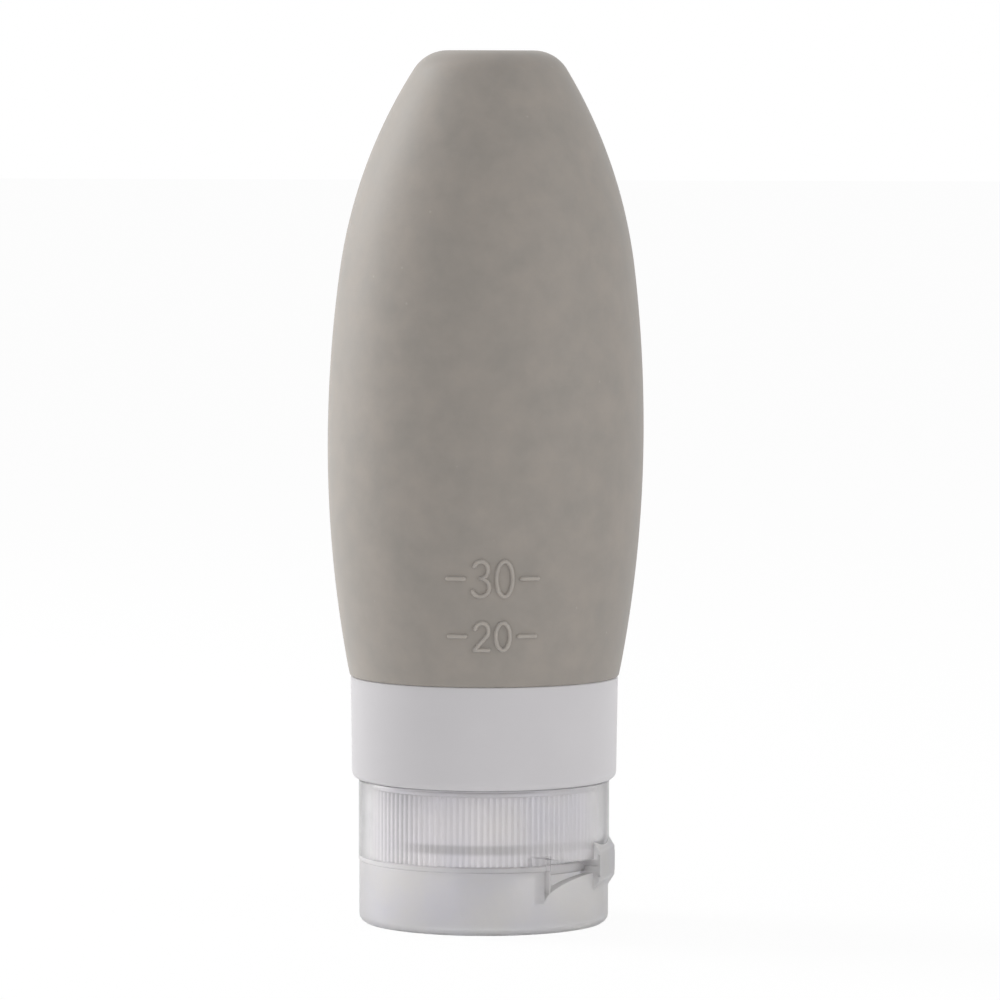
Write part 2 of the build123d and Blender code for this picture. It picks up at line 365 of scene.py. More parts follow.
mottle_inputs = {"Colour": (0.5, 0.5, 0.5, 1), "Patch colour": (0.6, 0.6, 0.6, 1)}
mottle_inputs.update({"Patches per mm": 0.08, "Gloss low": 0.4, "Gloss high": 0.5})
mottle, mottle_in = open_group("soft_mottling", mottle_inputs)
mottle_place = in_millimetres(mottle)
mottle_noise = noise(mottle, mottle_place, mottle_in["Patches per mm"], detail=5.0, roughness=0.55)
mottle_spread = ramp(mottle, mottle_noise, *patch_range, shape="LINEAR")
mottle_colours = [("Factor", mottle_spread), (6, mottle_in["Colour"]), (7, mottle_in["Patch colour"])]
mottle_mix = add_node(mottle, "ShaderNodeMix", mottle_colours, data_type="RGBA")
gloss_ends = (mottle_in["Gloss low"], mottle_in["Gloss high"])
mottle_gloss = ramp(mottle, mottle_spread, 0.0, 1.0, *gloss_ends, shape="LINEAR")
close_group(mottle, {"Colour": mottle_mix.outputs[2], "Roughness": mottle_gloss})

# %% Flow: level streaks round the axis
flow_stretch = (0.06, 0.06, 1)

flow, flow_in = open_group("flow_streaks", {"Streaks per mm": 1.0, "Strength": 0.5})
flow_noise = noise(flow, in_millimetres(flow, flow_stretch), flow_in["Streaks per mm"], detail=4.0)
close_group(flow, {"Height": reckon(flow, "MULTIPLY", flow_noise, flow_in["Strength"])})

# %% [markdown]
# Rubber and soft plastic also pick up specks: a grain of dust, or a pit that the mould left. A cell
# texture puts one spot in every cell, and only the few cells whose own random value is low keep it.

# %% Specks: a few small spots
specks, specks_in = open_group("stray_specks", {"Cells per mm": 0.2, "Filled share": 0.2, "Spot size": 0.05})
speck_place = [("Vector", in_millimetres(specks)), ("Scale", specks_in["Cells per mm"])]
speck_cells = add_node(specks, "ShaderNodeTexVoronoi", speck_place).outputs
speck_spot = ramp(specks, speck_cells["Distance"], specks_in["Spot size"], 0.0)
speck_chance = add_node(specks, "ShaderNodeSeparateColor", [("Color", speck_cells["Color"])]).outputs["Red"]
speck_kept = reckon(specks, "LESS_THAN", speck_chance, specks_in["Filled share"])
close_group(specks, {"Mask": reckon(specks, "MULTIPLY", speck_spot, speck_kept)})

# %% [markdown]
# ## The finishes
#
# Colours are written as they read on screen and turned into light values by one helper. A number
# that is the same all over a surface sits on the shader's own socket. What drifts over the surface
# comes from the groups.

# %% A helper for colours
def on_screen(red, green, blue):
    """A colour given as it reads on screen, from 0 to 255, as the light values that a shader takes."""
    lights = []
    for value in (red, green, blue):
        share = value / 255
        lights.append(share / 12.92 if share <= 0.04045 else ((share + 0.055) / 1.055) ** 2.4)
    return (*lights, 1)


print("mid grey on screen is a light of", round(on_screen(128, 128, 128)[0], 3))

# %% Helpers for moulded materials
coarse_share = 0.4
streaks_per_mm = 0.8


def place_group(tree, group, values):
    """Places a group in a material with its own values, and gives its outputs."""
    return add_node(tree, "ShaderNodeGroup", values.items(), node_tree=group).outputs


def moulded(name, constants, colours, patches, gloss, grains, bump, flow_bump=0.0):
    """A moulded material: mottled colour and gloss, grain and perhaps flow streaks in the bump."""
    material = bpy.data.materials.new(name)
    material.use_nodes = True
    tree = material.node_tree
    shader = tree.nodes["Principled BSDF"].inputs
    for socket, value in constants.items():
        shader[socket].default_value = value
    drift = {"Colour": on_screen(*colours[0]), "Patch colour": on_screen(*colours[1])}
    drift.update({"Patches per mm": patches, "Gloss low": gloss[0], "Gloss high": gloss[1]})
    patchy = place_group(tree, mottle, drift)
    tree.links.new(patchy["Colour"], shader["Base Color"])
    tree.links.new(patchy["Roughness"], shader["Roughness"])
    height = place_group(tree, grain, {"Grains per mm": grains, "Coarse share": coarse_share})["Height"]
    if flow_bump:
        streaks = place_group(tree, flow, {"Streaks per mm": streaks_per_mm, "Strength": flow_bump})
        height = reckon(tree, "ADD", height, streaks["Height"])
    relief = add_node(tree, "ShaderNodeBump", [("Height", height), ("Distance", bump), ("Strength", 1.0)])
    tree.links.new(relief.outputs["Normal"], shader["Normal"])
    return material


# %% [markdown]
# The bottle is silicone rubber filled with a warm grey pigment. It is matte but not chalky, light
# goes a little way in, and fine dust gives its edges a soft bloom, which the sheen stands for. The
# raised marks on it are painted a little paler than the skin round them, a painted highlight for the
# light that the raised strokes catch. The collar is milky polypropylene: nearly opaque, with light
# that scatters just under its skin. It comes out of the mould with a fine spark-eroded texture, so it
# is rough to light at every scale, and the side that faces the lamp is no brighter at its edge. That
# is what the diffuse roughness does.

# %% Silicone rubber and milky plastic
silicone = {
    "Subsurface Weight": 0.12,
    "Subsurface Radius": (1.0, 0.8, 0.6),
    "Subsurface Scale": 1.2 * mm,
    "Specular IOR Level": 0.35,
    "Sheen Weight": 0.12,
    "Sheen Roughness": 0.45,
    "IOR": 1.41,
}
even_depth = (1.0, 1.0, 1.0)
milk = {
    "Diffuse Roughness": 1.0,
    "Subsurface Weight": 0.12,
    "Subsurface Radius": even_depth,
    "Subsurface Scale": 2.0 * mm,
    "Specular IOR Level": 0.05,
    "IOR": 1.49,
}
taupe = moulded(
    "taupe_silicone", silicone, ((144, 139, 133), (154, 147, 140)),
    patches=0.22, gloss=(0.5, 0.6), grains=5.0, bump=0.012 * mm,
)
# The marks' paler colour is a painted highlight: it stands for the light that the raised strokes catch.
highlit_marks = moulded(
    "highlit_marks_silicone", silicone, ((160, 154, 148), (168, 162, 155)),
    patches=0.3, gloss=(0.45, 0.55), grains=5.0, bump=0.01 * mm,
)
milky = moulded(
    "milky_polypropylene", milk, ((210, 208, 210), (215, 213, 215)),
    patches=0.04, gloss=(0.42, 0.5), grains=6.0, bump=0.006 * mm,
)
print("materials", taupe.name, highlit_marks.name, milky.name)

# %% Specks on the bottle and the collar
def scale_colour(material, share):
    """Multiplies the colour that a material already has by a value."""
    tree = material.node_tree
    colour = tree.nodes["Principled BSDF"].inputs["Base Color"]
    sizes = [(0, colour.links[0].from_socket), ("Scale", share)]
    scaled = add_node(tree, "ShaderNodeVectorMath", sizes, operation="SCALE")
    tree.links.new(scaled.outputs["Vector"], colour)


def specked(material, lift, cells, share, size):
    """Adds a few specks to a material, paler than the rest by lift and raised a little in the bump."""
    tree = material.node_tree
    height = tree.nodes["Principled BSDF"].inputs["Normal"].links[0].from_node.inputs["Height"]
    spots = place_group(tree, specks, {"Cells per mm": cells, "Filled share": share, "Spot size": size})
    scale_colour(material, reckon(tree, "MULTIPLY_ADD", spots["Mask"], lift, 1.0))
    tree.links.new(reckon(tree, "ADD", height.links[0].from_socket, spots["Mask"]), height)


specked(taupe, lift=0.2, cells=0.25, share=0.5, size=0.07)
specked(milky, lift=-0.08, cells=0.2, share=0.3, size=0.06)
print("specks on", taupe.name, milky.name)

# %% [markdown]
# The cap is clear polypropylene, which is never as clear as glass: its crystals scatter light, so it
# looks frosted. It stays a transmitting material with a rough surface. The inner cap, the neck and
# the valve's ring are the same plastic unpolished, so they are hazier. The valve and the washer are
# silicone without pigment.

# %% Clear and hazy plastics
clear = moulded(
    "clear_polypropylene",
    {"Transmission Weight": 0.92, "IOR": 1.46, "Specular IOR Level": 0.5},
    ((250, 249, 253), (255, 253, 252)),
    patches=0.1, gloss=(0.14, 0.2), grains=3.0, bump=0.004 * mm, flow_bump=1.2,
)
frost = {"Subsurface Weight": 0.6, "Subsurface Radius": even_depth, "Subsurface Scale": 3.0 * mm}
frosted = moulded(
    "frosted_polypropylene",
    {"Transmission Weight": 0.6, "IOR": 1.46, "Specular IOR Level": 0.5, **frost},
    ((241, 240, 247), (250, 247, 244)),
    patches=0.1, gloss=(0.3, 0.36), grains=3.0, bump=0.006 * mm, flow_bump=1.5,
)
hazy = moulded(
    "hazy_polypropylene",
    {"Transmission Weight": 0.1, "IOR": 1.46, "Specular IOR Level": 0.5},
    ((246, 244, 245), (250, 248, 249)),
    patches=0.1, gloss=(0.25, 0.32), grains=4.0, bump=0.006 * mm,
)
natural = moulded(
    "natural_silicone",
    {"Transmission Weight": 0.45, "IOR": 1.41, "Specular IOR Level": 0.4},
    ((222, 220, 216), (228, 226, 222)),
    patches=0.15, gloss=(0.4, 0.5), grains=5.0, bump=0.006 * mm,
)
print("materials", clear.name, frosted.name, hazy.name, natural.name)

# %% [markdown]
# Light that runs a long way inside a plastic wall comes out dimmer. Seen from the front a wall is
# thin, but at the cap's left and right edges you look along it. So the clear plastics take a greyer
# tint where the surface turns away from the eye.

# %% Greyer where the wall is seen along
def dimmed_along(material, tint, start, end):
    """Multiplies the colour by tint where the surface is seen edge on."""
    tree = material.node_tree
    facing = add_node(tree, "ShaderNodeLayerWeight", [("Blend", 0.5)]).outputs["Facing"]
    scale_colour(material, ramp(tree, facing, start, end, 1.0, tint))
    print(material.name, "edge tint", tint)


dimmed_along(clear, tint=0.18, start=0.36, end=0.86)
dimmed_along(frosted, tint=0.76, start=0.45, end=0.9)

# %% [markdown]
# The knurled ring has light and shade painted into its colour. Its grooves are darkened as painted
# shade, and so is a band where the deck meets the wall, a painted shadow of the deck seen through the
# wall. Both are read from the place on the ring, the first from the distance to the axis and the
# second from the height. The painted groove shade is deepest on the left, the side of the main lamp,
# where the band is faint; the band fades again towards the right. The ribs also carry painted light:
# they are brighter on the left and dimmer towards the right, and dimmer again at the far left edge.

# %% The ribbed plastic and the places on it
ribbed = moulded(
    "ribbed_polypropylene",
    {"Specular IOR Level": 0.4, "IOR": 1.46},
    ((229, 228, 230), (233, 232, 234)),
    patches=0.1, gloss=(0.2, 0.28), grains=4.0, bump=0.004 * mm,
)
ribs = ribbed.node_tree
place = add_node(ribs, "ShaderNodeSeparateXYZ", [("Vector", in_millimetres(ribs))]).outputs
level = add_node(ribs, "ShaderNodeCombineXYZ", [("X", place["X"]), ("Y", place["Y"])]).outputs["Vector"]
from_axis = add_node(ribs, "ShaderNodeVectorMath", [(0, level)], operation="LENGTH").outputs["Value"]
print("material", ribbed.name)

# %% Paint shade into the grooves between the ribs
groove_shade_depths = (0.6, 0.02)
deep_shade_side = (-12.5, -6.5)
behind_root = (0.09, 0.05)

crest = knurl_crest / mm
root = (knurl_crest - knurl_depth) / mm
on_rib = ramp(ribs, from_axis, root, crest, -1.0, 0.0)
inside = ramp(ribs, from_axis, root - behind_root[0], root - behind_root[1], 0.0, -1.0)
groove = reckon(ribs, "MAXIMUM", on_rib, inside)
groove_shade_depth = ramp(ribs, place["X"], *deep_shade_side, *groove_shade_depths)
# Painted shade: the grooves are darkened, most deeply on the left, the side of the main lamp.
groove_shade_factor = reckon(ribs, "MULTIPLY_ADD", groove, groove_shade_depth, 1.0)
print("grooves from", round(root, 2), "to", round(crest, 2), "mm out")

# %% Paint the deck's shadow on the ring as a darker band
band_depth = 0.36
band_right_share = 0.4
band_blur = 0.35
band_left = (-13.0, -7.0)
band_right = (2.0, 9.0)

band_foot = deck_bottom / mm
band_head = deck_top / mm
below = ramp(ribs, place["Z"], band_foot - band_blur, band_foot + band_blur, 0.0, -1.0)
above = ramp(ribs, place["Z"], band_head - band_blur, band_head + band_blur, -1.0, 0.0)
band = reckon(ribs, "MAXIMUM", below, above)
band_start = ramp(ribs, place["X"], *band_left, 0.0, band_depth)
band_fade = ramp(ribs, place["X"], *band_right, 1.0, band_right_share)
# Painted shadow: the ring is darker in a band where the deck meets the wall.
deck_shadow_band = reckon(ribs, "MULTIPLY_ADD", band, reckon(ribs, "MULTIPLY", band_start, band_fade), 1.0)
print("band from", round(band_foot, 2), "to", round(band_head, 2))

# %% Paint light on the ribs, brightest on the left lamp's side
painted_light_ends = (1.25, 0.84)
edge_dim_floor = 0.86
lit_side = (-13.0, 14.0)
past_side = (-16.0, -12.5)

# Painted light: the ribs are brighter on the left lamp's side and dimmer to the right, and dimmer again at
# the far left edge.
painted_left_glow = ramp(ribs, place["X"], *lit_side, *painted_light_ends)
painted_edge_dim = ramp(ribs, place["X"], *past_side, edge_dim_floor, 1.0)
painted_lamp_light = reckon(ribs, "MULTIPLY", painted_left_glow, painted_edge_dim)
groove_and_band_shade = reckon(ribs, "MULTIPLY", groove_shade_factor, deck_shadow_band)
scale_colour(ribbed, reckon(ribs, "MULTIPLY", groove_and_band_shade, painted_lamp_light))
print("the ribs' light goes from", painted_light_ends[0], "to", painted_light_ends[1], "across the ring")

# %% [markdown]
# ## The soft bottle
#
# The bottle is a blunt egg standing on its small end. Its side is two arcs that meet where it is
# widest, a third that leans in over the shoulder, and a rounded corner to the flat top. Each arc
# leaves along the heading of the last, so the side has no kink. It could be drawn as one free curve,
# but arcs are how a mould maker draws it, and they scale.

# %% Arcs that leave a point along a heading
def tangent_arc(start, end, heading):
    """The arc from start to end that leaves start along heading: centre, radius, first angle, sweep."""
    chord = end - start
    across = Vector((-heading.y, heading.x))
    reach = chord.length_squared / (2 * chord.dot(across))
    centre = start + across * reach
    first = atan2(start.y - centre.y, start.x - centre.x)
    last = atan2(end.y - centre.y, end.x - centre.x)
    return centre, abs(reach), first, (last - first + pi) % (2 * pi) - pi


def arc_points(centre, radius, first, sweep, steps, skipped=0):
    """Points along an arc, without the skipped ones at its start."""
    angles = [first + sweep * step / steps for step in range(skipped, steps + 1)]
    return [centre + radius * Vector((cos(angle), sin(angle))) for angle in angles]


def crown_points(shoulder, corner, heading, corner_radius, steps):
    """The arc from the shoulder towards the corner, then a rounded corner that runs level into the top."""
    centre, radius, first, _ = tangent_arc(shoulder, Vector(corner), heading)
    level = corner[1] - corner_radius
    inset = radius - corner_radius
    middle = Vector((centre.x + sqrt(inset**2 - (level - centre.y) ** 2), level))
    lean = atan2(middle.y - centre.y, middle.x - centre.x)
    crown = arc_points(centre, radius, first, lean - first, steps, 1)
    return crown + arc_points(middle, corner_radius, lean, pi / 2 - lean, steps, 1)


quarter = tangent_arc(Vector((1, 0)), Vector((0, 1)), Vector((0, 1)))
print("a quarter of a circle sweeps", round(quarter[3] * 180 / pi, 1), "degrees")

# %% The side of the bottle, outside and inside
widest_share = 0.381
shoulder_shares = (0.9325, 0.650)
top_corner_share = 0.405
top_round = 5.7 * mm
throat_gap = (0.5 * mm, 2.5 * mm)
low_steps = 24
high_steps = 20


def bottle_side(inset, foot, corner_radius):
    """Points from the foot up the side to the axis, moved in by inset."""
    radius = bottle_radius - inset
    height = bottle_height - inset
    top = collar_top + height
    widest = Vector((radius, collar_top + widest_share * height))
    shoulder = Vector((shoulder_shares[0] * radius, collar_top + shoulder_shares[1] * height))
    low = arc_points(*tangent_arc(widest, Vector(foot), Vector((0, -1))), low_steps)
    high_arc = tangent_arc(widest, shoulder, Vector((0, 1)))
    spoke = (shoulder - high_arc[0]) / high_arc[1]
    corner = (top_corner_share * radius, top)
    crown = crown_points(shoulder, corner, Vector((-spoke.y, spoke.x)), corner_radius, high_steps)
    return low[::-1] + arc_points(*high_arc, high_steps, 1) + crown + [Vector((0, top))]


bottle_outside = bottle_side(0, (mouth_radius, collar_top), top_round)
throat = (mouth_radius - bottle_wall + throat_gap[0], collar_top + throat_gap[1])
bottle_inside = bottle_side(bottle_wall, throat, top_round - bottle_wall)
print("the side has", len(bottle_outside), "points")

# %% [markdown]
# The mouth is a thick sleeve that goes down inside the collar, with a bead that sits in a groove of
# the stiff neck. Two mould halves leave a fine parting line up each side of the real bottle, so the
# skin swells there by a few hundredths of a millimetre. The rings are packed closer round that line.
# A soft bottle never stands quite true either: this one bends to the right by two thirds of a
# millimetre at its top.

# %% The bottle's outline
sleeve_bore = spigot_radius + 0.05 * mm
sleeve_end = collar_top - 0.8 * mm
bead_low = flange_top + 3.35 * mm
bead_high = bead_low + 1.4 * mm
bead_bore = sleeve_bore - 0.6 * mm
mouth_round = 0.5 * mm

bottle_corners = [(sleeve_radius, flange_top, edge), (sleeve_radius, collar_top, 0)]
bottle_corners.append((mouth_radius, collar_top, mouth_round))
bottle_corners += [(point.x, point.y, 0) for point in bottle_outside[1:]]
outer_count = len(soften(bottle_corners))
bottle_corners += [(point.x, point.y, 0) for point in bottle_inside[::-1]]
bottle_corners += [(sleeve_bore, sleeve_end, 0), (sleeve_bore, bead_high, 0), (bead_bore, bead_high, edge)]
bottle_corners += [(bead_bore, bead_low, edge), (sleeve_bore, bead_low, 0), (sleeve_bore, flange_top, edge)]
bottle_outline = soften(bottle_corners)
print("the outline has", len(bottle_outline), "points,", outer_count, "of them outside")

# %% Turn the bottle
parting_height = 0.03 * mm
parting_width = 0.22 * mm
parting_offsets = (-0.33, -0.22, -0.11, 0.11, 0.22, 0.33)
even_stations = 180
top_lean = 0.68 * mm


def bottle_stations():
    """Angles round the bottle, evenly spaced, and closer together beside the two parting lines."""
    angles = [2 * pi * step / even_stations for step in range(even_stations)]
    for side in (0, pi):
        angles += [(side + offset * mm / bottle_radius) % (2 * pi) for offset in parting_offsets]
    return sorted(angles)


def leaned(point):
    """A point of the soft bottle moved sideways by the bottle's slight bend, which grows with height."""
    share = max(0, point[2] - collar_top) / bottle_height
    return (point[0] + top_lean * share**2, point[1], point[2])


bottle_rings = []
for angle in bottle_stations():
    ring = []
    for index, (out, height) in enumerate(bottle_outline):
        from_line = abs(sin(angle)) * out
        swell = parting_height * exp(-((from_line / parting_width) ** 2))
        outside_skin = index < outer_count and height > collar_top + mouth_round and out > top_round
        reach = out + swell if outside_skin else out
        ring.append(leaned((reach * cos(angle), reach * sin(angle), height)))
    bottle_rings.append(ring)

soft_bottle = skin("soft_bottle", bottle_rings)
settle(soft_bottle, "bottle", "taupe_silicone", taupe, "silicone_body")

# %% [markdown]
# ## The raised level marks
#
# The bottle carries small raised strokes on its front. Here they are plain level marks, and they are
# true: each number sits where the standing bottle really holds that many millilitres. The volume is
# summed in thin cones up the inside of the neck and the bottle.

# %% Find where the bottle holds 20 and 30 millilitres
millilitre = 1e-6
inside_walls = [(neck_bore, neck_rim), (neck_bore, flange_bottom), (spigot_bore, flange_inside)]
inside_walls += [(spigot_bore, spigot_top), (sleeve_bore, spigot_top), (sleeve_bore, sleeve_end)]
inside_walls += [(point.x, point.y) for point in bottle_inside]
held = [0.0]
for (low_out, low), (high_out, high) in zip(inside_walls, inside_walls[1:]):
    cone = pi * (high - low) * (low_out**2 + low_out * high_out + high_out**2) / 3
    held.append(held[-1] + cone)


def level_of(millilitres):
    """The height up to which the standing bottle holds that volume."""
    return float(np.interp(millilitres * millilitre, held, [height for _, height in inside_walls]))


print("30 ml at", round(level_of(30) / mm, 2), "mm, and", round(held[-1] / millilitre, 1), "ml to the brim")

# %% [markdown]
# Each digit is drawn as pen strokes, arcs and lines in a box of width one and height one. A stroke
# becomes a low half-round ridge laid on the skin. Text objects could be used, but their flat faces
# would have to be bent onto the bottle, and a moulded mark is a rounded line rather than a letter
# cut from a plate.

# %% Digits as strokes
def arc_stroke(middle, reach, start, end, steps=18):
    """Points on an ellipse from one angle to another, in degrees."""
    angles = [radians(start + (end - start) * step / steps) for step in range(steps + 1)]
    return [(middle[0] + reach[0] * cos(angle), middle[1] + reach[1] * sin(angle)) for angle in angles]


digit_strokes = {
    "0": [arc_stroke((0.5, 0.5), (0.5, 0.5), 90, 450, 36)],
    "2": [arc_stroke((0.5, 0.7), (0.48, 0.3), 165, -30) + [(0.0, 0.0)], [(0.0, 0.0), (1.0, 0.0)]],
    "3": [
        arc_stroke((0.47, 0.76), (0.45, 0.24), 155, -90),
        arc_stroke((0.45, 0.26), (0.55, 0.26), 90, -155),
    ],
    "-": [[(0.0, 0.5), (1.0, 0.5)]],
}
print("strokes for", "".join(digit_strokes))

# %% A point on the bottle's skin
mark_azimuth = radians(3.2)
stroke_gap = 0.2 * mm
side_heights = [point.y for point in bottle_outside[:-1]]
side_radii = [point.x for point in bottle_outside[:-1]]


def on_skin(across, height, lift):
    """The point of the bottle's skin that far round from the marks' middle, lifted along the normal."""
    radius = float(np.interp(height, side_heights, side_radii))
    slope = float(np.interp(height + stroke_gap, side_heights, side_radii)) - radius
    length = hypot(stroke_gap, slope)
    out = radius + lift * stroke_gap / length
    angle = mark_azimuth + across / radius
    return Vector(leaned((out * sin(angle), -out * cos(angle), height - lift * slope / length)))


print("skin at the 30 mark", [round(c / mm, 2) for c in on_skin(0, level_of(30), 0)])

# %% Sections along a stroke
stroke_half_width = 0.3 * mm
end_angles = (30, 55, 75, 88)


def spread(path, gap):
    """The path with points added, so that no two lie further apart than gap."""
    points = [Vector(path[0])]
    for start, end in zip(path, path[1:]):
        pieces = max(1, round((Vector(end) - Vector(start)).length / gap))
        points += [Vector(start).lerp(Vector(end), piece / pieces) for piece in range(1, pieces + 1)]
    return points


def stroke_sections(path, closed):
    """Points along a path, each with its heading and its size, which shrinks at open ends."""
    points = spread(path, stroke_gap)
    if closed:
        points = points[:-1]
    headings = []
    for index, point in enumerate(points):
        before = points[index - 1] if closed or index else point
        after = points[(index + 1) % len(points)] if closed or index + 1 < len(points) else point
        headings.append((after - before).normalized())
    sections = [(point, heading, 1.0) for point, heading in zip(points, headings)]
    if not closed:
        for ahead, size in [(sin(radians(a)), cos(radians(a))) for a in end_angles]:
            sections.append((points[-1] + headings[-1] * ahead * stroke_half_width, headings[-1], size))
            sections.insert(0, (points[0] - headings[0] * ahead * stroke_half_width, headings[0], size))
    return sections


print("a stroke of 1 mm has", len(stroke_sections([(0, 0), (1 * mm, 0)], closed=False)), "sections")

# %% Lay a stroke on the skin
stroke_height = 0.42 * mm
stroke_root = 0.15 * mm
stroke_facets = 8


def stroke_rings(path, closed):
    """Half-round rings of points on the skin, along a path of (across, height) points."""
    rings = []
    for point, heading, size in stroke_sections(path, closed):
        sideways = Vector((-heading.y, heading.x))
        ring = []
        for step in range(stroke_facets + 1):
            angle = pi * step / stroke_facets
            spot = point + sideways * stroke_half_width * size * cos(angle)
            ring.append(on_skin(spot.x, spot.y, stroke_height * size * sin(angle)))
        for way in (-1, 1):
            spot = point + sideways * stroke_half_width * size * way
            ring.append(on_skin(spot.x, spot.y, -stroke_root))
        rings.append(ring)
    return rings


# %% Raise the marks
digit_gap = 1.0 * mm
dash_width = 2.4 * mm
dash_gap = 1.3 * mm
mark_rows = {"30": (5.0 * mm, 2.3 * mm), "20": (3.9 * mm, 2.0 * mm)}


def raise_row(text, size):
    """One row of marks: a level line, the digits and another level line, centred on the level."""
    height, width = size
    middle = level_of(int(text))
    glyphs = [("-", dash_width)] + [(digit, width) for digit in text] + [("-", dash_width)]
    gaps = [dash_gap] + [digit_gap] * (len(text) - 1) + [dash_gap]
    left = -(sum(wide for _, wide in glyphs) + sum(gaps)) / 2
    strokes = []
    for index, (glyph, wide) in enumerate(glyphs):
        closed = glyph == "0"
        for stroke in digit_strokes[glyph]:
            path = [(left + x * wide, middle + (y - 0.5) * height) for x, y in stroke]
            strokes.append(skin(f"mark_{text}_{index}", stroke_rings(path, closed), closed))
        left += wide + (gaps[index] if index < len(gaps) else 0)
    return strokes


def joined(name, pieces):
    """Joins several meshes into the first, which takes the name."""
    work = bmesh.new()
    for piece in pieces:
        work.from_mesh(piece.data)
    take_shape(pieces[0].data, work)
    for piece in pieces[1:]:
        bpy.data.objects.remove(piece)
    pieces[0].name = name
    return pieces[0]


for text, size in mark_rows.items():
    row = joined(f"level_mark_{text}", raise_row(text, size))
    settle(row, "bottle", "taupe_silicone", highlit_marks)
    print(row.name, "with", len(row.data.polygons), "faces")

# %% [markdown]
# ## The collar and the neck
#
# The collar is a plain sleeve with a slight flare, a well rounded lower edge and a nearly sharp upper
# one where the rubber sits down on it. Its lip carries the flange of the stiff neck. Both are simple
# turned outlines.

# %% Turn the collar
collar_low_radius = collar_top_radius - 0.2 * mm
collar_bore = sleeve_radius + 0.05 * mm
collar_corners = [
    (thread_room, collar_bottom, edge),
    (collar_low_radius, collar_bottom, 1.1 * mm),
    (collar_top_radius, collar_top, 0.25 * mm),
    (collar_bore, collar_top, edge),
    (collar_bore, flange_bottom, edge),
    (thread_room, flange_bottom, edge),
]
collar = turned("collar_ring", collar_corners, stations=240)
settle(collar, "bottle", "milky_plastic", milky, "collar")

# %% Turn the neck
neck_core = 13.3 * mm
groove_low = flange_top + 3.3 * mm
groove_high = groove_low + 1.5 * mm
groove_radius = spigot_radius - 0.6 * mm
neck_corners = [
    (neck_bore, neck_rim, edge),
    (neck_core, neck_rim, 2 * edge),
    (neck_core, flange_bottom, edge),
    (sleeve_radius, flange_bottom, edge),
    (sleeve_radius, flange_top, edge),
    (spigot_radius, flange_top, edge),
    (spigot_radius, groove_low, edge),
    (groove_radius, groove_low, edge),
    (groove_radius, groove_high, edge),
    (spigot_radius, groove_high, edge),
    (spigot_radius, spigot_top, 4 * edge),
    (spigot_bore, spigot_top, edge),
    (spigot_bore, flange_inside, edge),
    (neck_bore, flange_bottom, edge),
]
neck = turned("stiff_neck", neck_corners)
settle(neck, "bottle", "natural_plastic", hazy, "neck_insert")

# %% [markdown]
# ## The screw threads
#
# The neck's thread and the cap's thread are two right-handed helices half a pitch apart, so the ridge
# of one runs in the space of the other. The cap climbs the neck by one pitch in a turn, which is
# what lifts the bottle as it unscrews. Each ridge fades in and out over a short run, as moulded
# threads do. One helper makes both: a small rounded section swept up a helix.

# %% Sweep the threads
thread_pitch = 3.175 * mm
thread_base = 0.55 * mm
thread_tip = 0.25 * mm
thread_root = 0.15 * mm
thread_start = neck_rim + 0.9 * mm
thread_turns = 1.2
thread_crests = {"neck": 14.2 * mm, "cap": 13.7 * mm}
steps_per_turn = 90
fades_per_turn = 12
least_ridge = 0.02


def thread(name, wall, crest, start_angle):
    """A ridge that climbs the wall as a helix, from the wall's radius to the crest's."""
    into_wall = wall - thread_root if crest > wall else wall + thread_root
    steps = round(thread_turns * steps_per_turn)
    rings = []
    for step in range(steps + 1):
        share = step / steps
        angle = start_angle + 2 * pi * thread_turns * share
        height = thread_start + thread_pitch * thread_turns * share
        fades = (1, share * thread_turns * fades_per_turn, (1 - share) * thread_turns * fades_per_turn)
        top = wall + (crest - wall) * max(least_ridge, sin(min(fades) * pi / 2))
        section = [(into_wall, -thread_base), (wall, -thread_base), (top, -thread_tip)]
        section += [(top, thread_tip), (wall, thread_base), (into_wall, thread_base)]
        rings.append(ring_at([(out, height + rise) for out, rise in section], angle))
    return skin(name, rings, closed=False)


neck_thread = thread("neck_thread", neck_core, thread_crests["neck"], 0)
settle(neck_thread, "bottle", "natural_plastic", hazy)
cap_thread = thread("cap_thread", thread_room, thread_crests["cap"], pi)
settle(cap_thread, "cap", "natural_plastic", hazy)

# %% [markdown]
# ## The knurled inner cap
#
# Through the clear shell you see a ring with some hundred and twenty fine upright ribs. It is the
# threaded inner cap, pressed into the shell, and the ribs stop it from turning there. It also has the
# deck across it, the outlet nozzle below and the pocket that holds the valve. The ribs are a wave in
# the radius of one turned outline, with eight rings to a rib. A displacement modifier would need far
# more faces to hold them as crisply.

# %% The inner cap's outline
skirt_top = inner_cap_box[1].z
nozzle_tip = inner_cap_box[0].z
nozzle_bore = 4.0 * mm
nozzle_radius = nozzle_bore + 1.2 * mm
pocket_bore = 7.05 * mm
pocket_radius = pocket_bore + 1.2 * mm
snap_bore = pocket_bore - 0.3 * mm
valve_ring_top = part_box("valve_ring")[1].z
pocket_top = valve_ring_top + 0.5 * mm
rim_radius = knurl_crest - knurl_depth - 0.1 * mm
rim_height = skirt_top + 0.5 * mm


